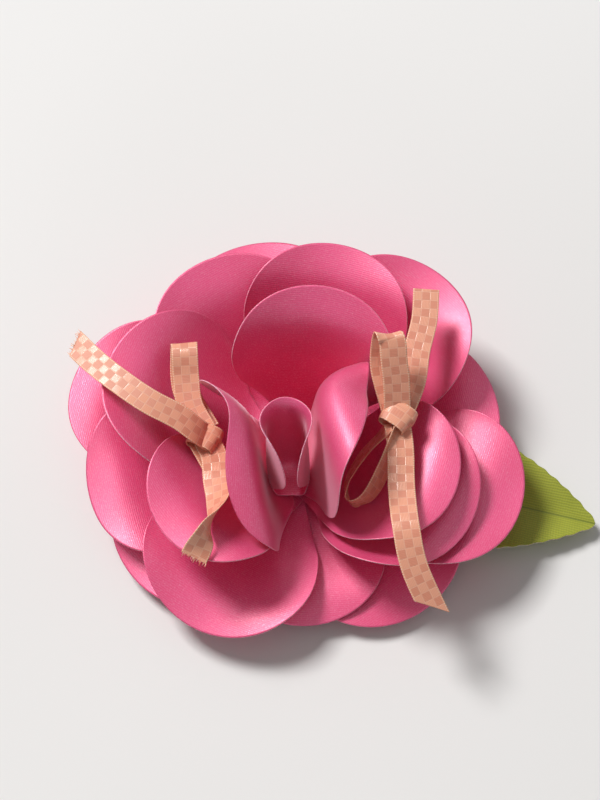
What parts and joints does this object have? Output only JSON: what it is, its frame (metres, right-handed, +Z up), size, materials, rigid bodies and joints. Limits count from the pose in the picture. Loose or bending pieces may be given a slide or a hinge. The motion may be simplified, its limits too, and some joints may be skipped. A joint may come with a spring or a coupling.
{
  "type": "paper flower",
  "caption": "Large open paper flower of pearly pink card petals with a rolled heart, a toothed green leaf and two checked peach ribbon bows",
  "frame": {"origin": "centre of the underside of the round base card, which lies on the table", "axes": "+Z up out of the flower's face, +X to the flower's right, towards the leaf, +Y to its back"},
  "size_m": [0.205, 0.1652, 0.0638],
  "materials": {
    "petal_card": "pearlescent pink card",
    "leaf_card": "matt linen-embossed green card",
    "base_card": "matt pink card",
    "ribbon": "checked peach satin"
  },
  "bodies": {
    "root": {"base_card": "base_card", "leaf": "leaf_card", "outer_petal_front_left": "petal_card", "outer_petal_left_back": "petal_card", "outer_petal_front_right": "petal_card", "outer_petal_right": "petal_card", "outer_petal_back": "petal_card", "outer_petal_left": "petal_card", "outer_petal_front": "petal_card", "second_petal_front_left": "petal_card", "second_petal_right": "petal_card", "second_petal_back_right": "petal_card", "second_petal_back_left": "petal_card", "third_petal_left": "petal_card", "third_petal_back": "petal_card", "third_petal_right": "petal_card", "inner_petal_back": "petal_card", "inner_petal_left": "petal_card", "inner_petal_right": "petal_card", "folded_petal_left": "petal_card", "folded_petal_right": "petal_card", "rolled_petal_centre": "petal_card", "ribbon_bow_left": "ribbon", "ribbon_bow_right": "ribbon"}
  },
  "joints": []
}
